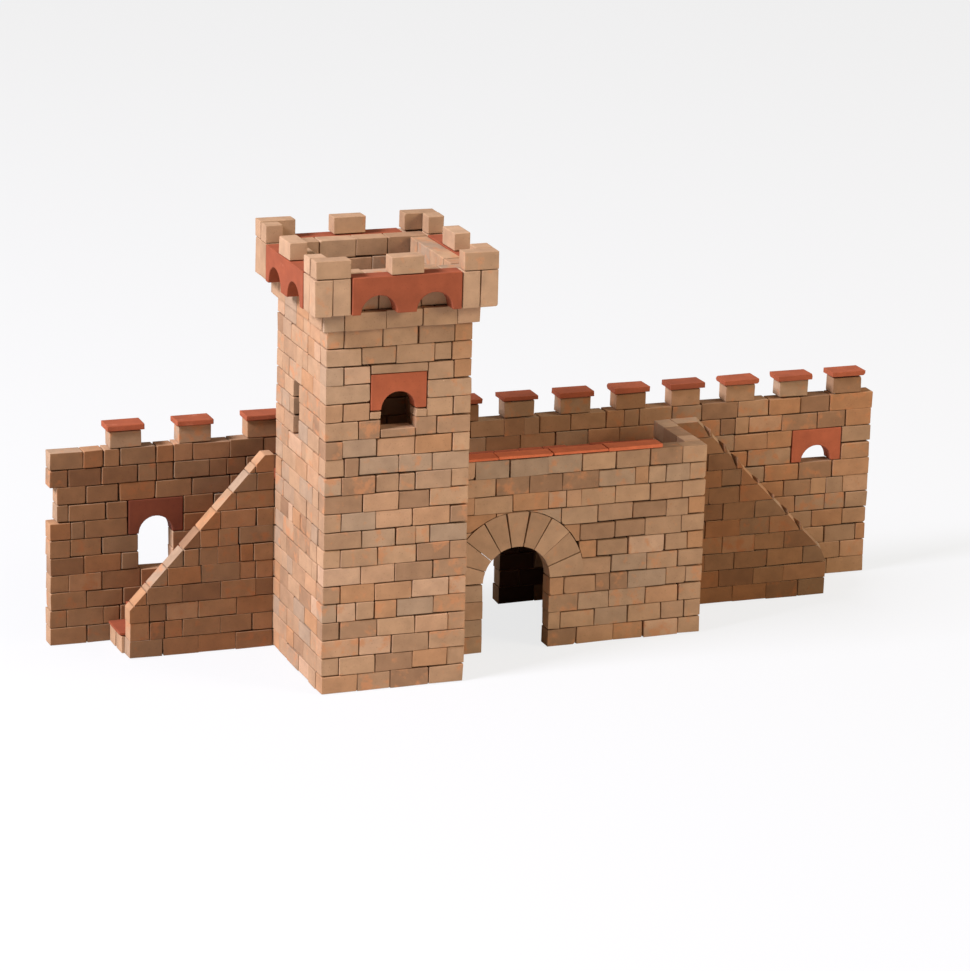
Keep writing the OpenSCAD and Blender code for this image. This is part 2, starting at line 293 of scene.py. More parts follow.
def clay_material(name, tones, bloom_colour, bloom_amount, spot_colour, sand, drag, front=None, shade_below=0.0):
    """Unglazed clay: one tone a piece, blooms from the kiln, dark specks and a sandy, dragged face."""
    material, tree, shader = new_material(name, 0.9)
    piece = add_group(tree, PIECE_GROUP)
    place = piece.outputs["Place"]
    base = add_ramp(tree, piece.outputs["Tone"], tones)
    cloudy = add_ramp(tree, add_noise(tree, place, 0.16, 3.0), [(0.25, grey(0.84)), (0.75, grey(1.12))])
    colour = add_mix(tree, 1.0, base, cloudy, "MULTIPLY")
    threshold = add_math(tree, "SUBTRACT", 0.74, add_math(tree, "MULTIPLY", piece.outputs["Bloom"], bloom_amount))
    blooms = add_group(tree, PATCH_GROUP, Place=place, Scale=0.22, Threshold=threshold, Softness=0.14)
    bloom_strength = add_math(tree, "MULTIPLY", blooms.outputs["Mask"], 0.75)
    colour = add_mix(tree, bloom_strength, colour, bloom_colour)
    specks = add_group(tree, PATCH_GROUP, Place=place, Scale=2.4, Threshold=0.63, Softness=0.07)
    speck_strength = add_math(tree, "MULTIPLY", specks.outputs["Mask"], 0.35)
    colour = add_mix(tree, speck_strength, colour, spot_colour)
    grain = add_group(tree, GRAIN_GROUP, Place=place, Sand=sand, Drag=drag, Pits=0.6)
    pit_strength = add_math(tree, "MULTIPLY", grain.outputs["Pit Mask"], 0.6)
    colour = add_mix(tree, pit_strength, colour, spot_colour)
    # Painted shade: faces turned to the front are darkened by the front colour, and those below the given height darker
    # still.
    if front:
        faces = add_group(tree, PAINTED_SHADE_MASKS, Height=shade_below)
        front_shade_colour = add_mix(tree, 1.0, colour, front, "MULTIPLY")
        colour = add_mix(tree, faces.outputs["Front"], colour, front_shade_colour)
        # Painted shade deep in the passage: the low front faces are darkened further.
        low_shade_colour = add_mix(tree, 1.0, colour, LOW_SHADE_TINT, "MULTIPLY")
        colour = add_mix(tree, faces.outputs["Low Front"], colour, low_shade_colour)
    tree.links.new(colour, shader.inputs["Base Color"])
    bump = tree.nodes.new("ShaderNodeBump")
    bump.inputs["Strength"].default_value = 0.55
    bump.inputs["Distance"].default_value = 0.12 * MM
    tree.links.new(grain.outputs["Height"], bump.inputs["Height"])
    tree.links.new(bump.outputs[0], shader.inputs["Normal"])
    return material


# The tint of the painted shade on low front faces, for the passage under the wall walk.
LOW_SHADE_TINT = (0.16, 0.12, 0.10, 1)


def make_brick_clay(name, front=None, shade_below=0.0):
    """Tan bricks; the front colour darkens the faces turned to the front as painted shade, and below the given height
    those faces get a darker painted shade on top.
    """
    tones = [(0.0, (0.29, 0.155, 0.078, 1)), (0.2, (0.38, 0.218, 0.114, 1)), (0.45, (0.45, 0.260, 0.136, 1)),
             (0.62, (0.36, 0.234, 0.140, 1)), (0.8, (0.42, 0.208, 0.092, 1)), (1.0, (0.50, 0.300, 0.172, 1))]
    return clay_material(name, tones, (0.50, 0.215, 0.090, 1), 0.26, (0.17, 0.085, 0.042, 1), 1.0, 0.6, front, shade_below)


def make_arch_clay():
    return clay_material(
        "pale_arch_clay",
        [(0.0, (0.35, 0.198, 0.102, 1)), (0.5, (0.41, 0.238, 0.126, 1)), (1.0, (0.46, 0.275, 0.152, 1))],
        (0.50, 0.230, 0.105, 1), 0.18, (0.18, 0.095, 0.050, 1), 0.9, 0.4)


def make_red_clay(name, tone_and_light):
    """Red tiles whose colour is scaled by one number: a little below 1 for their own tone, higher for a copy with
    painted light, lower for a copy with painted shade.
    """
    tones = [(0.0, (0.30, 0.070, 0.026)), (0.5, (0.36, 0.084, 0.031)), (1.0, (0.42, 0.104, 0.040))]
    tones = [(place, tuple(tone_and_light * part for part in colour) + (1,)) for place, colour in tones]
    bloom = (0.50 * tone_and_light, 0.150 * tone_and_light, 0.070 * tone_and_light, 1)
    return clay_material(name, tones, bloom, 0.16, (0.15 * tone_and_light, 0.034 * tone_and_light, 0.014 * tone_and_light, 1), 0.8, 0.5)


def make_joint_shade():
    """Dark glue and clay dust deep in the joints."""
    material, tree, shader = new_material("joint_dust", 1.0)
    coordinates = tree.nodes.new("ShaderNodeTexCoord")
    dust = add_noise(tree, coordinates.outputs["Object"], 900.0, 2.0)
    colour = add_ramp(tree, dust, [(0.3, (0.030, 0.017, 0.010, 1)), (0.8, (0.075, 0.042, 0.024, 1))])
    tree.links.new(colour, shader.inputs["Base Color"])
    return material


def make_deck_board():
    """Raw board under the tiles of the wall walk."""
    material, tree, shader = new_material("raw_board", 0.85)
    coordinates = tree.nodes.new("ShaderNodeTexCoord")
    stretched = tree.nodes.new("ShaderNodeVectorMath")
    stretched.operation = "MULTIPLY"
    stretched.inputs[1].default_value = (60.0, 900.0, 900.0)
    tree.links.new(coordinates.outputs["Object"], stretched.inputs[0])
    fibre = add_noise(tree, stretched.outputs[0], 1.0, 4.0)
    colour = add_ramp(tree, fibre, [(0.3, (0.16, 0.095, 0.050, 1)), (0.75, (0.27, 0.175, 0.100, 1))])
    tree.links.new(colour, shader.inputs["Base Color"])
    return material


BRICK_CLAY = make_brick_clay("fired_brick_clay")
# Shaded copies of the brick clay, with painted shade on the faces turned to the front: a mild one, the same with darker
# painted shade below the wall walk for the passage, and a deep one for the walls in shade.
MID_SHADED_CLAY = make_brick_clay("brick_clay_mid_painted_shade", (0.84, 0.76, 0.66, 1))
PASSAGE_SHADED_CLAY = make_brick_clay("brick_clay_passage_painted_shade", (0.84, 0.76, 0.66, 1), DECK_TOP)
DEEP_SHADED_CLAY = make_brick_clay("brick_clay_deep_painted_shade", (0.56, 0.44, 0.32, 1))
ARCH_CLAY = make_arch_clay()
RED_CLAY = make_red_clay("red_terracotta", 0.92)
# A copy of the terracotta with painted light, brighter, for the lit tops of the gate's coping.
LIT_RED_CLAY = make_red_clay("terracotta_painted_light", 1.6)
# A copy of the terracotta with painted shade, darker, for the left window's lintel in shade.
SHADED_RED_CLAY = make_red_clay("terracotta_painted_shade", 0.42)
JOINT_SHADE = make_joint_shade()
DECK_BOARD = make_deck_board()


# ---------------------------------------------------------------- outlines in a wall's own u and z

def rectangle(u0, u1, z0, z1):
    return [(u0, z0), (u1, z0), (u1, z1), (u0, z1)]


def clip_below(outline, start, end):
    """The part of a convex outline on the right-hand side of the line from start to end."""
    normal = (end[1] - start[1], start[0] - end[0])

    def side(point):
        return (point[0] - start[0]) * normal[0] + (point[1] - start[1]) * normal[1]

    kept = []
    for here, following in zip(outline, outline[1:] + outline[:1]):
        a, b = side(here), side(following)
        if a >= 0:
            kept.append(here)
        if a * b < 0:
            t = a / (a - b)
            kept.append((here[0] + t * (following[0] - here[0]), here[1] + t * (following[1] - here[1])))
    return kept


def clip_around_arch(u0, u1, z0, z1, centre, radius):
    """A rectangle with the circle of the arch's back cut out of it, or None if nothing is left."""
    samples = 5
    reach = max(0.0, radius ** 2 - (z0 - centre[1]) ** 2) ** 0.5
    if z0 >= centre[1] + radius or u0 >= centre[0] + reach or u1 <= centre[0] - reach:
        return rectangle(u0, u1, z0, z1)
    beside = abs((u0 + u1) / 2 - centre[0]) > (z0 + z1) / 2 - centre[1]
    if beside:
        sign = 1 if (u0 + u1) / 2 > centre[0] else -1
        edge = []
        for i in range(samples):
            z = z0 + (z1 - z0) * i / (samples - 1)
            half = max(0.0, radius ** 2 - (z - centre[1]) ** 2) ** 0.5
            limit = centre[0] + sign * half
            edge.append((min(max(limit, u0), u1), z))
        if sign > 0:
            outline = [(u1, z1)] + edge[::-1] + [(u1, z0)]
            outline = outline[::-1]
        else:
            outline = [(u0, z0)] + edge + [(u0, z1)]
    else:
        edge = []
        for i in range(samples):
            u = u0 + (u1 - u0) * i / (samples - 1)
            rise = max(0.0, radius ** 2 - (u - centre[0]) ** 2) ** 0.5
            edge.append((u, min(max(centre[1] + rise, z0), z1)))
        outline = edge + [(u1, z1), (u0, z1)]
    return tidy(outline)


def tidy(outline, least=0.25 * MM, smallest=0.9 * MM ** 2):
    """Drops repeated points; gives back None for an outline too small to be a stone."""
    kept = []
    for point in outline:
        if not kept or math.dist(point, kept[-1]) > least:
            kept.append(point)
    while len(kept) > 1 and math.dist(kept[0], kept[-1]) <= least:
        kept.pop()
    if len(kept) < 3 or abs(area_of(kept)) < smallest:
        return None
    return kept


def area_of(outline):
    return sum(a[0] * b[1] - b[0] * a[1] for a, b in zip(outline, outline[1:] + outline[:1])) / 2


def wedge(centre, inner, outer, start, end, steps):
    """One stone of an arch ring between two angles."""
    angles = [start + (end - start) * i / steps for i in range(steps + 1)]
    back = [(centre[0] + outer * math.cos(a), centre[1] + outer * math.sin(a)) for a in angles]
    belly = [(centre[0] + inner * math.cos(a), centre[1] + inner * math.sin(a)) for a in reversed(angles)]
    return back + belly


def arched_panel(low, high, foot, top, openings, radius):
    """A rectangle with half rounds cut up into it from its lower edge."""
    steps = 16
    outline = [(low, top), (low, foot)]
    for middle in openings:
        for i in range(steps + 1):
            angle = math.pi * (1 - i / steps)
            outline.append((middle + radius * math.cos(angle), foot + radius * math.sin(angle)))
    return outline + [(high, foot), (high, top)]


# ---------------------------------------------------------------- stretches of a course

def subtract(runs, holes):
    """Stretches left of some runs once the holes are taken out."""
    for low, high in holes:
        left = []
        for start, end in runs:
            if high <= start or low >= end:
                left.append((start, end))
                continue
            if low > start:
                left.append((start, low))
            if high < end:
                left.append((high, end))
        runs = left
    return runs


def overlap(first, second):
    """Stretches that two lists of runs share."""
    shared = []
    for a, b in first:
        for c, d in second:
            if min(b, d) - max(a, c) > 0:
                shared.append((max(a, c), min(b, d)))
    return shared


def joint_offset(course):
    """Running bond: every other course starts half a brick along."""
    return 0.0 if course % 2 == 0 else BRICK / 2


def joint_near(u, origin, course):
    """The head joint of a course that lies nearest to u."""
    start = origin + joint_offset(course)
    return start + round((u - start) / BRICK) * BRICK


def lay_run(low, high, origin, course, rng, halves):
    """Cuts a stretch into bricks on the bond's joints, with some bricks in two halves."""
    least = 0.3 * BRICK
    start = origin + joint_offset(course)
    first = math.ceil((low - start) / BRICK)
    joints = []
    u = start + first * BRICK
    while u < high:
        joints.append(u)
        if rng.random() < halves:
            joints.append(u + BRICK / 2)
        u += BRICK
    inner = [u + rng.uniform(-1.5, 1.5) * MM for u in joints]
    inner = [u for u in inner if low + least < u < high - least]
    ends = [low] + inner + [high]
    return list(zip(ends, ends[1:]))


# ---------------------------------------------------------------- solids

class Masonry:
    """Collects the stones of one piece. Along is the axis that the wall runs along."""

    def __init__(self, name, along, seed):
        self.name = name
        self.along = along
        self.rng = random.Random(seed)
        self.stones = bmesh.new()
        self.core = bmesh.new()

    def place(self, u, v, z):
        return (u, v, z) if self.along == "x" else (v, u, z)

    def prism(self, target, outline, v0, v1, wobble=0.0, front=None):
        """A solid with the given outline, filling v0 to v1; its corners wander by up to wobble."""
        rng = self.rng
        rings = []
        for v, points in ((v0, front or outline), (v1, outline)):
            ring = []
            for u, z in points:
                du, dz = rng.uniform(-wobble, wobble), rng.uniform(-wobble, wobble)
                ring.append(target.verts.new(self.place(u + du, v, z + dz)))
            rings.append(ring)
        count = len(outline)
        faces = [target.faces.new(rings[0]), target.faces.new(rings[1][::-1])]
        for i in range(count):
            j = (i + 1) % count
            faces.append(target.faces.new((rings[0][j], rings[0][i], rings[1][i], rings[1][j])))
        return faces

    def stone(self, outline, v0, v1, wobble=0.1 * MM, proud=0.3 * MM):
        """A stone whose two faces are set back by a small random amount each."""
        rng = self.rng
        back0, back1 = rng.uniform(0, proud), rng.uniform(0, proud)
        self.prism(self.stones, outline, v0 + back0, v1 - back1, wobble)

    def leaning_stone(self, outline, v0, v1, slope, lean):
        """A stone under a slope; its front edge is cut back so that the slope leans to the front."""
        (u0, z0), (u1, z1) = slope
        inner_end = min(u for u, _ in outline) if lean < 0 else max(u for u, _ in outline)
        front = []
        for u, z in outline:
            on_slope = abs(u - (u0 + (u1 - u0) * (z - z0) / (z1 - z0))) < 0.05 * MM
            room = 0.8 * abs(u - inner_end)
            front.append((u + math.copysign(min(abs(lean), room), lean) if on_slope else u, z))
        self.prism(self.stones, outline, v0, v1, 0.0, front)

    def brick(self, u0, u1, z0, z1, v0, v1, proud=0.3 * MM):
        """A brick in its cell, set back from the cell's sides by half a joint of its own width."""
        rng = self.rng
        gaps = [JOINT / 2 * rng.choice((0.3, 0.6, 0.9, 1.2, 2.0)) for _ in range(4)]
        self.stone(rectangle(u0 + gaps[0], u1 - gaps[1], z0 + gaps[2], z1 - gaps[3]), v0, v1, 0.15 * MM, proud)

    def fill(self, u0, u1, z0, z1, v0, v1):
        """Dark filling between stones."""
        if u1 - u0 > 0.2 * MM and z1 - z0 > 0.05 * MM:
            self.prism(self.core, rectangle(u0, u1, z0, z1), v0, v1)

    def finish(self, node, clay, bevel=0.32 * MM, chips=0.05):
        """Rounds the stones' edges, knocks off a few corners and joins everything into one object."""
        bm = self.stones
        bmesh.ops.recalc_face_normals(bm, faces=bm.faces)
        if chips:
            bm.verts.ensure_lookup_table()
            chipped = [vert for vert in bm.verts if self.rng.random() < chips]
            bmesh.ops.bevel(bm, geom=chipped, offset=0.9 * MM, segments=1, profile=0.5,
                            affect="VERTICES", clamp_overlap=True)
        sharp = [edge for edge in bm.edges
                 if len(edge.link_faces) == 2 and edge.calc_face_angle(0) > math.radians(25)]
        bmesh.ops.bevel(bm, geom=sharp, offset=bevel, segments=2, profile=0.6,
                        affect="EDGES", clamp_overlap=True)
        low, high = cad_bounds
        for vert in bm.verts:
            vert.co = [min(max(c, a), b) for c, a, b in zip(vert.co, low, high)]
        for face in bm.faces:
            face.smooth = True
        core_mesh = bpy.data.meshes.new("filling")
        bmesh.ops.recalc_face_normals(self.core, faces=self.core.faces)
        for face in self.core.faces:
            face.material_index = 1
        self.core.to_mesh(core_mesh)
        bm.from_mesh(core_mesh)
        bpy.data.meshes.remove(core_mesh)
        mesh = bpy.data.meshes.new(self.name)
        bm.to_mesh(mesh)
        bm.free()
        self.core.free()
        mesh.materials.append(clay)
        mesh.materials.append(JOINT_SHADE)
        piece = bpy.data.objects.new(self.name, mesh)
        bpy.context.scene.collection.objects.link(piece)
        weighted = piece.modifiers.new("flat faces", "WEIGHTED_NORMAL")
        weighted.keep_sharp = True
        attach(piece, "root")
        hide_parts(node)
        return piece


def lay_wall(masonry, span_of, v0, v1, courses, origin, holes=(), arch=None, slope=None, halves=0.12,
             foot=0.0, lean=0.0):
    """Lays a wall course by course. span_of(course) gives its ends, holes are (u0, u1, z0, z1)."""
    rng = masonry.rng
    core0, core1 = v0 + 2.0 * MM, v1 - 2.0 * MM
    previous = []
    for course in range(courses):
        z0, z1 = foot + course * COURSE, foot + (course + 1) * COURSE
        low, high = span_of(course)
        levels = sorted({z0, z1} | {z for hole in holes for z in hole[2:] if z0 + MM < z < z1 - MM})
        bands = []
        for bottom, top in zip(levels, levels[1:]):
            blocked = [hole[:2] for hole in holes if hole[2] < top - MM and hole[3] > bottom + MM]
            bands.append((bottom, top, subtract([(low, high)], blocked)))
        whole = bands[0][2]
        for band in bands[1:]:
            whole = overlap(whole, band[2])
        for start, end in whole:
            for u0, u1 in lay_run(start, end, origin, course, rng, halves):
                lay_cell(masonry, u0, u1, z0, z1, v0, v1, arch, slope, lean)
        for bottom, top, runs in bands:
            for start, end in subtract(runs, whole):
                if end - start > MM:
                    masonry.brick(start, end, bottom, top, v0, v1)
        solid = core_runs(whole, z0, z1, arch, slope)
        for start, end in solid:
            masonry.fill(start + MM, end - MM, z0 + MM, z1 - MM, core0, core1)
        for start, end in overlap(previous, solid):
            masonry.fill(start + MM, end - MM, z0 - MM, z0 + MM, core0, core1)
        previous = solid


def core_runs(runs, z0, z1, arch, slope):
    """Where a course is backed by dark filling: clear of the arch's opening and under the slope."""
    if arch:
        centre, _, inner = arch
        if z1 > centre[1] and z0 < centre[1] + inner:
            half = max(0.0, inner ** 2 - max(0.0, z0 - centre[1]) ** 2) ** 0.5 + 1.5 * MM
            runs = subtract(runs, [(centre[0] - half, centre[0] + half)])
    if slope:
        (u0, s0), (u1, s1) = slope
        at_top = u0 + (u1 - u0) * (z1 + 0.5 * MM - s0) / (s1 - s0)
        blocked = (-1.0, at_top) if s1 > s0 else (at_top, 1.0)
        runs = subtract(runs, [blocked])
    return runs


def lay_cell(masonry, u0, u1, z0, z1, v0, v1, arch, slope, lean):
    """One brick of a course, cut to the back of the arch or to the slope where it meets them."""
    half = JOINT / 2
    if arch:
        centre, outer, _ = arch
        if z1 > centre[1]:
            outline = clip_around_arch(u0 + half, u1 - half, z0 + half, z1 - half, centre, outer + half)
            if outline is None:
                return
            if len(outline) > 4:
                masonry.stone(outline, v0, v1, 0.04 * MM)
                return
    if slope:
        start, end = slope
        cut = clip_below(rectangle(u0 + half, u1 - half, z0 + half, z1 - half), start, end)
        outline = tidy(cut) if len(cut) > 2 else None
        if outline is None:
            return
        if outline != rectangle(u0 + half, u1 - half, z0 + half, z1 - half):
            if lean:
                masonry.leaning_stone(outline, v0, v1, slope, lean)
            else:
                masonry.stone(outline, v0, v1, 0.02 * MM)
            return
    masonry.brick(u0, u1, z0, z1, v0, v1)


# ---------------------------------------------------------------- tower

def full_on(parity, low, high):
    """Quoins: courses of one parity run out to the corners, the others stop behind the next wall."""
    def span(course):
        inset = 0.0 if course % 2 == parity else COURSE
        return low + inset, high - inset
    return span


RIM_COURSES = round(rim / COURSE)
lintel_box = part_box("tower_window_lintel")
tower_window_x = (lintel_box[0][0] + lintel_box[1][0]) / 2


def lintel_hole(node):
    low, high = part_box(node)
    return (low[0], high[0], low[2], high[2])


def window_below(node, sill):
    """The straight part of a window, from its sill up to its lintel."""
    low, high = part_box(node)
    middle = (low[0] + high[0]) / 2
    return (middle - LINTEL_RADIUS, middle + LINTEL_RADIUS, sill, low[2])


def build_tower_walls():
    front = Masonry("tower_front_brickwork", "x", 11)
    lay_wall(front, full_on(0, tower_left, tower_right), tower_front, tower_front + COURSE, RIM_COURSES,
             tower_left, [lintel_hole("tower_window_lintel"), window_below("tower_window_lintel", SILL_TOWER)])
    front.finish("tower_front_wall", BRICK_CLAY)

    back = Masonry("tower_back_brickwork", "x", 12)
    lay_wall(back, full_on(0, tower_left, tower_right), tower_back - COURSE, tower_back, RIM_COURSES, tower_left)
    back.finish("tower_back_wall", BRICK_CLAY)

    slit_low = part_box("tower_left_wall")[0][1]
    slit_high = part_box("tower_left_wall")[1][1]
    slit_middle = tower_front + 0.59 * (tower_back - tower_front)
    slit = (slit_middle - SLIT_WIDTH / 2, slit_middle + SLIT_WIDTH / 2, SLIT_FOOT, SLIT_TOP)
    assert slit_low < slit[0] and slit[1] < slit_high
    left = Masonry("tower_left_brickwork", "y", 13)
    lay_wall(left, full_on(1, tower_front, tower_back), tower_left, tower_left + COURSE, RIM_COURSES,
             tower_front, [slit])
    left.finish("tower_left_wall", BRICK_CLAY)

    right = Masonry("tower_right_brickwork", "y", 14)
    lay_wall(right, full_on(1, tower_front, tower_back), tower_right - COURSE, tower_right, RIM_COURSES,
             tower_front)
    right.finish("tower_right_wall", BRICK_CLAY)


def build_corbel_course():
    """A thin course of bricks all round the shaft, under the crown."""
    low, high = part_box("tower_corbel_course")
    course = Masonry("corbel_brickwork", "x", 21)
    rng = course.rng
    for v0, v1 in ((low[1], tower_front), (tower_back, high[1])):
        for u0, u1 in lay_run(low[0], high[0], tower_left, 1, rng, 0.1):
            course.brick(u0, u1, low[2], high[2], v0, v1)
    course.along = "y"
    for v0, v1 in ((low[0], tower_left), (tower_right, high[0])):
        for u0, u1 in lay_run(tower_front, tower_back, tower_front, 0, rng, 0.1):
            course.brick(u0, u1, low[2], high[2], v0, v1)
    course.finish("tower_corbel_course", BRICK_CLAY, bevel=0.25 * MM)


def build_crown_corner(node, seed):
    """Upright bricks round the corner with flat ones across their tops."""
    low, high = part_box(node)
    x_out = low[0] if low[0] < tower_left else high[0]
    y_out = low[1] if low[1] < tower_front else high[1]
    sx = 1 if x_out == low[0] else -1
    sy = 1 if y_out == low[1] else -1
    corner = Masonry(node + "_bricks", "x", seed)
    upright_top = low[2] + 2 * COURSE

    def lay(a0, a1, b0, b1, z0, z1):
        xs = sorted((x_out + sx * a0 * COURSE, x_out + sx * a1 * COURSE))
        ys = sorted((y_out + sy * b0 * COURSE, y_out + sy * b1 * COURSE))
        corner.brick(xs[0], xs[1], z0, z1, ys[0] + JOINT / 2, ys[1] - JOINT / 2, 0.2 * MM)

    for a0, b0 in ((0, 0), (1, 0), (0, 1)):
        lay(a0, a0 + 1, b0, b0 + 1, low[2], upright_top)
    lay(0, 2, 0, 1, upright_top, high[2])
    lay(0, 1, 1, 2, upright_top, high[2])
    corner.finish(node, ARCH_CLAY, chips=0.08)


def build_panel(node, along, seed):
    """A red panel with two half rounds cut up into it."""
    low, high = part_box(node)
    axis = 0 if along == "x" else 1
    length = high[axis] - low[axis]
    leg = 4 * MM
    middle = (low[axis] + high[axis]) / 2
    radius = length / 4 - leg
    outline = arched_panel(low[axis] + JOINT, high[axis] - JOINT, low[2], high[2],
                           (middle - length / 4, middle + length / 4), radius)
    panel = Masonry(node + "_panel", along, seed)
    panel.prism(panel.stones, outline, low[1 - axis], high[1 - axis])
    panel.finish(node, RED_CLAY, bevel=0.35 * MM, chips=0.0)


def build_loose_bricks(name, node, clay, boxes, seed, bevel=0.35 * MM):
    """Single bricks or tiles, each filling its own box."""
    group = Masonry(name, "x", seed)
    for low, high in boxes:
        group.brick(low[0], high[0], low[2], high[2], low[1], high[1], 0.15 * MM)
    group.finish(node, clay, bevel=bevel, chips=0.06)


def build_crown():
    corners = ("front_left", "front_right", "back_left", "back_right")
    for seed, corner in enumerate(corners, 31):
        build_crown_corner("crown_corner_" + corner, seed)
    build_panel("machicolation_front", "x", 41)
    build_panel("machicolation_back", "x", 42)
    build_panel("machicolation_left", "y", 43)
    build_panel("machicolation_right", "y", 44)
    low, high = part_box("crown_merlons")
    middle_x, middle_y = (tower_left + tower_right) / 2, (tower_front + tower_back) / 2
    half = 7 * MM
    boxes = [((middle_x - half, y, low[2]), (middle_x + half, y + COURSE, high[2])) for y in (low[1], high[1] - COURSE)]
    boxes += [((x, middle_y - half, low[2]), (x + COURSE, middle_y + half, high[2])) for x in (low[0], high[0] - COURSE)]
    build_loose_bricks("crown_merlon_bricks", "crown_merlons", ARCH_CLAY, boxes, 51)


def build_lintel(node, seed):
    """A red lintel with a half round cut from below."""
    low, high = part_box(node)
    middle = (low[0] + high[0]) / 2
    outline = arched_panel(low[0] + JOINT, high[0] - JOINT, low[2] + JOINT / 2, high[2] - JOINT / 2,
                           (middle,), LINTEL_RADIUS)
    lintel = Masonry(node + "_tile", "x", seed)
    lintel.prism(lintel.stones, outline, low[1] + 0.1 * MM, high[1] - 0.1 * MM)
    # The left window's lintel gets the copy with painted shade.
    clay = SHADED_RED_CLAY if node == "left_window_lintel" else RED_CLAY
    lintel.finish(node, clay, bevel=0.35 * MM, chips=0.0)


# ---------------------------------------------------------------- gate and city wall

WALL_COURSES = round(wall_top / COURSE)
ARCH = ((arch_x, arch_spring), arch_outer, arch_inner)
PASSAGE = (arch_x - arch_inner, arch_x + arch_inner, 0.0, arch_spring)


def build_arch(node, seed, clay):
    """The ring of wedge stones round the passage."""
    low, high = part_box(node)
    ring = Masonry(node + "_stones", "x", seed)
    step = math.pi / ARCH_STONES
    for i in range(ARCH_STONES):
        trim = ring.rng.uniform(0.10, 0.35) * MM / ((arch_inner + arch_outer) / 2)
        outline = wedge(ARCH[0], arch_inner + 0.1 * MM, arch_outer - 0.15 * MM,
                        i * step + trim, (i + 1) * step - trim, 5)
        ring.stone(outline, low[1], high[1], 0.05 * MM, 0.25 * MM)
    ring.finish(node, clay, chips=0.03)


def build_gate():
    def bay_span(course):
        return tower_right, joint_near(bay_right, tower_right, course)

    def plain_span(course):
        end = gate_right if course % 2 == 0 else gate_right - COURSE
        return joint_near(bay_right, tower_right, course), end

    def side_span(course):
        start = gate_back if course % 2 == 0 else gate_front
        return start, parapet_back

    bay = Masonry("gate_bay_brickwork", "x", 61)
    lay_wall(bay, bay_span, gate_front, gate_back, WALL_COURSES, tower_right, [PASSAGE], arch=ARCH)
    bay.finish("gate_bay_wall", BRICK_CLAY)
    plain = Masonry("gate_plain_brickwork", "x", 62)
    lay_wall(plain, plain_span, gate_front, gate_back, WALL_COURSES, tower_right)
    plain.finish("gate_plain_wall", BRICK_CLAY)
    side = Masonry("gate_side_brickwork", "y", 63)
    lay_wall(side, side_span, gate_right - COURSE, gate_right, WALL_COURSES, gate_front)
    side.finish("gate_side_wall", BRICK_CLAY)
    build_arch("gate_arch", 64, ARCH_CLAY)
    low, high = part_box("gate_coping")
    tiles = 4
    pitch = (high[0] - low[0]) / tiles
    boxes = [((low[0] + i * pitch, low[1], low[2]), (low[0] + (i + 1) * pitch, high[1], high[2])) for i in range(tiles)]
    # The coping tiles get the copy with painted light.
    build_loose_bricks("gate_coping_tiles", "gate_coping", LIT_RED_CLAY, boxes, 65, bevel=0.25 * MM)


def build_city_wall():
    def left_span(course):
        return wall_left_end, joint_near(bay_left, wall_left_end, course)

    def bay_span(course):
        return joint_near(bay_left, wall_left_end, course), joint_near(bay_right, wall_left_end, course)

    def right_span(course):
        return joint_near(bay_right, wall_left_end, course), wall_right_end

    notch = (wall_left_end - MM, wall_left_end + END_NOTCH, 7 * COURSE, 9 * COURSE)
    left = Masonry("city_wall_left_brickwork", "x", 71)
    lay_wall(left, left_span, wall_front, wall_back, WALL_COURSES, wall_left_end,
             [lintel_hole("left_window_lintel"), window_below("left_window_lintel", SILL_LEFT), notch])
    # The left wall gets the deep painted shade on its front faces.
    left.finish("city_wall_left", DEEP_SHADED_CLAY)
    bay = Masonry("city_wall_bay_brickwork", "x", 72)
    lay_wall(bay, bay_span, wall_front, wall_back, WALL_COURSES, wall_left_end, [PASSAGE], arch=ARCH)
    # The gate bay gets painted shade on its front faces, darker below the wall walk inside the passage.
    bay.finish("city_wall_gate_bay", PASSAGE_SHADED_CLAY)
    right = Masonry("city_wall_right_brickwork", "x", 73)
    lay_wall(right, right_span, wall_front, wall_back, WALL_COURSES, wall_left_end,
             [lintel_hole("right_window_lintel")])
    # The right wall gets a mild painted shade on its front faces.
    right.finish("city_wall_right", MID_SHADED_CLAY)
    # The rear arch gets the same painted passage shade.
    build_arch("rear_gate_arch", 74, PASSAGE_SHADED_CLAY)


def spread(low, high, size, count):
    """Starts of a row of equal pieces between two ends."""
    return [low + (high - size - low) * i / (count - 1) for i in range(count)]


def build_merlons():
    merlon_length = 14 * MM
    for side, count, seed in (("left", 6, 81), ("right", 7, 82)):
        node = "city_wall_merlons_" + side
        low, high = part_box(node)
        starts = spread(low[0], high[0], merlon_length, count)
        boxes = [((x, low[1], low[2]), (x + merlon_length, high[1], high[2])) for x in starts]
        # The merlons get a mild painted shade on their front faces.
        build_loose_bricks("merlon_bricks_" + side, node, MID_SHADED_CLAY, boxes, seed)
        node = "merlon_caps_" + side
        low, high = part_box(node)
        length = merlon_length + 2 * 1.2 * MM
        starts = spread(low[0], high[0], length, count)
        boxes = [((x, low[1], low[2]), (x + length, high[1], high[2])) for x in starts]
        build_loose_bricks("merlon_cap_tiles_" + side, node, RED_CLAY, boxes, seed + 10)


# ---------------------------------------------------------------- stairs and wall walk

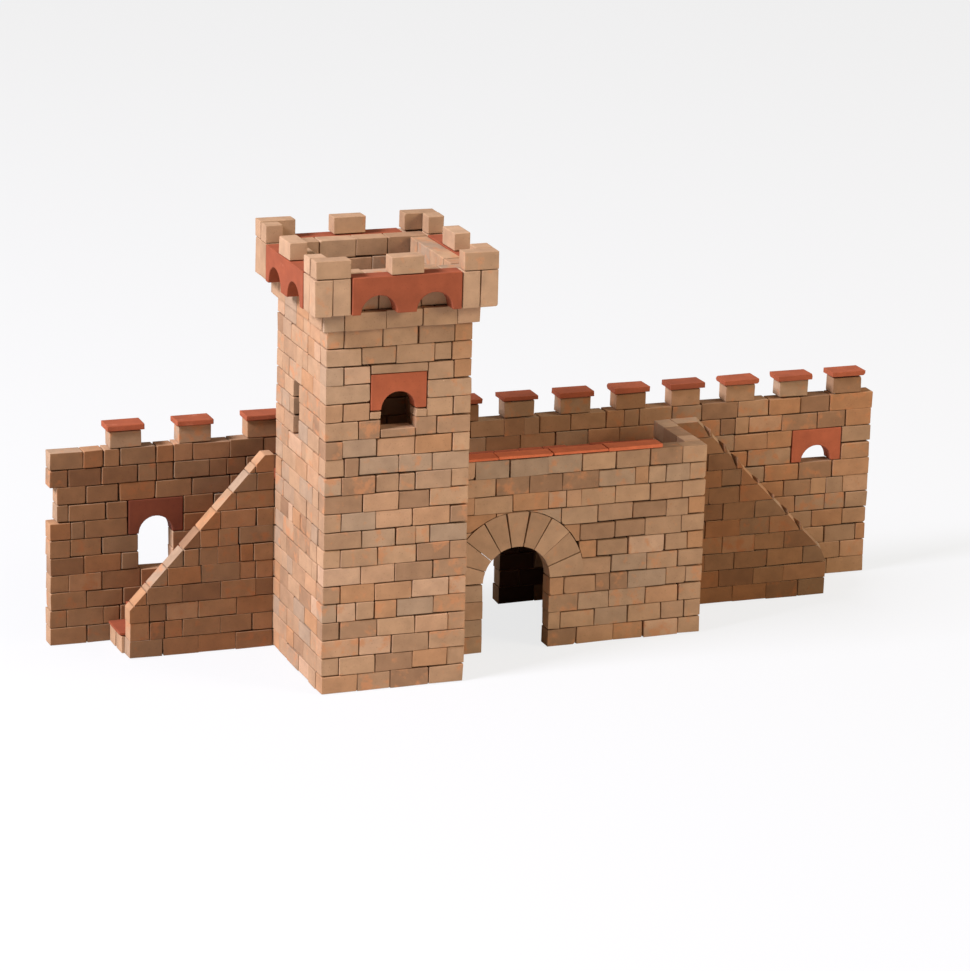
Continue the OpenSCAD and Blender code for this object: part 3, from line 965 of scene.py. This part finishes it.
def build_parapet(node, seed):
    """A wall beside a flight, its bricks cut off along the slope."""
    low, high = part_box(node)
    left_side = high[0] <= tower_left + MM
    flat = 4 * MM if left_side else 12 * MM
    if left_side:
        slope = ((low[0], PARAPET_LOW), (high[0] - flat, high[2]))
    else:
        slope = ((high[0], PARAPET_LOW), (low[0] + flat, high[2]))
    parapet = Masonry(node + "_brickwork", "x", seed)
    cut = slope if left_side else slope[::-1]
    lay_wall(parapet, lambda course: (low[0], high[0]), low[1], high[1], WALL_COURSES, low[0],
             slope=cut, halves=0.2, lean=0.0 if left_side else -2.4 * MM)
    # The parapets get the deep painted shade on their front faces.
    parapet.finish(node, DEEP_SHADED_CLAY, chips=0.04)


def build_flight(side, seed):
    """Steps of brick in two rows, with a red tread on each."""
    node = side + "_stair_steps"
    low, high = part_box(node)
    run = (high[0] - low[0] - COURSE) / STEPS
    climbs_right = side == "left"
    flight = Masonry(node + "_brickwork", "x", seed)
    middle = (low[1] + high[1]) / 2
    for course in range(STEPS):
        z0 = course * COURSE
        start = course * run
        u0 = low[0] + start if climbs_right else low[0]
        u1 = high[0] if climbs_right else high[0] - start
        for v0, v1 in ((low[1], middle), (middle, high[1])):
            for a, b in lay_run(u0, u1, u0 if climbs_right else u1, course + (v0 == middle), flight.rng, 0.1):
                flight.brick(a, b, z0, z0 + COURSE, v0 + JOINT / 2, v1 - JOINT / 2, 0.1 * MM)
    head = (high[0] - COURSE, high[0]) if climbs_right else (low[0], low[0] + COURSE)
    for v0, v1 in ((low[1], middle), (middle, high[1])):
        flight.brick(head[0], head[1], STEPS * COURSE, high[2], v0 + JOINT / 2, v1 - JOINT / 2, 0.1 * MM)
    flight.finish(node, BRICK_CLAY)

    node = side + "_stair_treads"
    low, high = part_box(node)
    nosing = 0.8 * MM
    tile = high[2] - low[2] - (STEPS - 1) * COURSE
    boxes = []
    for i in range(STEPS):
        if climbs_right:
            u0, u1 = low[0] + i * run, low[0] + (i + 1) * run + nosing
        else:
            u0, u1 = high[0] - (i + 1) * run - nosing, high[0] - i * run
        z0 = low[2] + i * COURSE
        boxes.append(((u0, low[1], z0), (u1, high[1], z0 + tile)))
    build_loose_bricks(side + "_stair_tread_tiles", node, RED_CLAY, boxes, seed + 5, bevel=0.3 * MM)


def tile_area(x0, x1, y0, y1, z0, z1, size):
    """Boxes of a grid of near-square tiles."""
    across, deep = max(1, round((x1 - x0) / size)), max(1, round((y1 - y0) / size))
    dx, dy = (x1 - x0) / across, (y1 - y0) / deep
    boxes = []
    for i in range(across):
        for j in range(deep):
            boxes.append(((x0 + i * dx, y0 + j * dy + JOINT / 2, z0), (x0 + (i + 1) * dx, y0 + (j + 1) * dy - JOINT / 2, z1)))
    return boxes


def build_walk():
    support = Masonry("walk_support_brickwork", "x", 101)
    low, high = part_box("walk_support_wall")
    lay_wall(support, lambda course: (low[0], high[0]), low[1], high[1], 9, low[0])
    for u0, u1 in lay_run(low[0], high[0], low[0], 1, support.rng, 0.1):
        support.brick(u0, u1, 9 * COURSE, high[2], low[1], high[1])
    support.finish("walk_support_wall", BRICK_CLAY)

    low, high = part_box("walk_tiles")
    z0, z1 = low[2], high[2]
    size = 11.5 * MM
    boxes = tile_area(low[0], tower_right, parapet_back, wall_front, z0, z1, size)
    boxes += tile_area(tower_right, gate_right - COURSE, gate_back, parapet_back, z0, z1, size)
    boxes += tile_area(tower_right, gate_right - COURSE, parapet_back, wall_front, z0, z1, size)
    boxes += tile_area(gate_right - COURSE, high[0], parapet_back, wall_front, z0, z1, size)
    build_loose_bricks("walk_floor_tiles", "walk_tiles", RED_CLAY, boxes, 102, bevel=0.22 * MM)

    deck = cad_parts["walk_deck"]
    for material_slot in deck.material_slots:
        material_slot.material = DECK_BOARD


def build_stairs():
    build_parapet("left_stair_parapet", 111)
    build_parapet("right_stair_parapet", 112)
    build_flight("left", 121)
    build_flight("right", 122)


# ---------------------------------------------------------------- floor, light and camera

def look_at(thing, target, roll=0.0):
    """Turns a lamp or camera at its place to face a point, then rolls it about its own axis."""
    direction = Vector(target) - thing.location
    turn = direction.to_track_quat("-Z", "Y").to_matrix().to_4x4()
    thing.rotation_euler = (turn @ Matrix.Rotation(roll, 4, "Z")).to_euler()


def build_floor():
    """A wide pale floor that keeps the object's soft shadow and reads as white to the camera."""
    size = 12.0
    mesh = bpy.data.meshes.new("floor")
    mesh.from_pydata([(-size, -size, 0), (size, -size, 0), (size, size, 0), (-size, size, 0)], [], [(0, 1, 2, 3)])
    floor = bpy.data.objects.new("floor", mesh)
    floor.location.z = -0.05 * MM
    bpy.context.scene.collection.objects.link(floor)
    material, tree, shader = new_material("pale_floor", 0.9)
    shader.inputs["Base Color"].default_value = (0.62, 0.60, 0.58, 1)
    glow = tree.nodes.new("ShaderNodeEmission")
    glow.inputs["Color"].default_value = (1, 1, 1, 1)
    glow.inputs["Strength"].default_value = 1.0
    light_path = tree.nodes.new("ShaderNodeLightPath")
    share = add_math(tree, "MULTIPLY", light_path.outputs["Is Camera Ray"], 0.78)
    mixed = tree.nodes.new("ShaderNodeMixShader")
    tree.links.new(share, mixed.inputs[0])
    tree.links.new(shader.outputs[0], mixed.inputs[1])
    tree.links.new(glow.outputs[0], mixed.inputs[2])
    tree.links.new(mixed.outputs[0], tree.nodes["Material Output"].inputs["Surface"])
    mesh.materials.append(material)


def build_world():
    """White to the camera, a gentler even light for everything else."""
    world = bpy.data.worlds.new("studio")
    bpy.context.scene.world = world
    world.use_nodes = True
    tree = world.node_tree
    background = tree.nodes["Background"]
    background.inputs["Color"].default_value = (1.0, 0.97, 0.93, 1)
    light_path = tree.nodes.new("ShaderNodeLightPath")
    ambient = 0.30
    strength = add_math(tree, "MULTIPLY", light_path.outputs["Is Camera Ray"], 1.0 - ambient)
    tree.links.new(add_math(tree, "ADD", strength, ambient), background.inputs["Strength"])


def add_lamp(name, location, target, size, power, colour):
    """A square soft box aimed at a point."""
    data = bpy.data.lights.new(name, "AREA")
    data.shape = "SQUARE"
    data.size = size
    data.energy = power
    data.color = colour
    lamp = bpy.data.objects.new(name, data)
    bpy.context.scene.collection.objects.link(lamp)
    lamp.location = location
    look_at(lamp, target)


def build_lamps():
    middle = (0.0, 0.0, 0.06)
    add_lamp("key_from_left", (-1.55, -0.30, 1.35), middle, 0.55, 66.0, (0.97, 1.0, 1.22))
    add_lamp("fill_from_right_front", (1.50, -1.25, 0.95), middle, 0.8, 27.0, (1.0, 0.92, 0.80))


def build_camera():
    """A long lens from the front left, a little above the crown."""
    data = bpy.data.cameras.new("camera")
    data.lens = 149.7
    data.sensor_width = 36.0
    data.clip_end = 50.0
    camera = bpy.data.objects.new("camera", data)
    bpy.context.scene.collection.objects.link(camera)
    camera.location = (-0.5841, -1.4855, 0.5448)
    look_at(camera, (-0.0121, 0.0, 0.0678), math.radians(1.64))
    bpy.context.scene.camera = camera


build_tower_walls()
build_corbel_course()
build_crown()
for number, lintel_node in enumerate(("tower_window_lintel", "left_window_lintel", "right_window_lintel"), 91):
    build_lintel(lintel_node, number)
build_gate()
build_city_wall()
build_merlons()
build_stairs()
build_walk()
build_floor()
build_world()
build_lamps()
build_camera()
bpy.context.scene.view_settings.view_transform = "Standard"
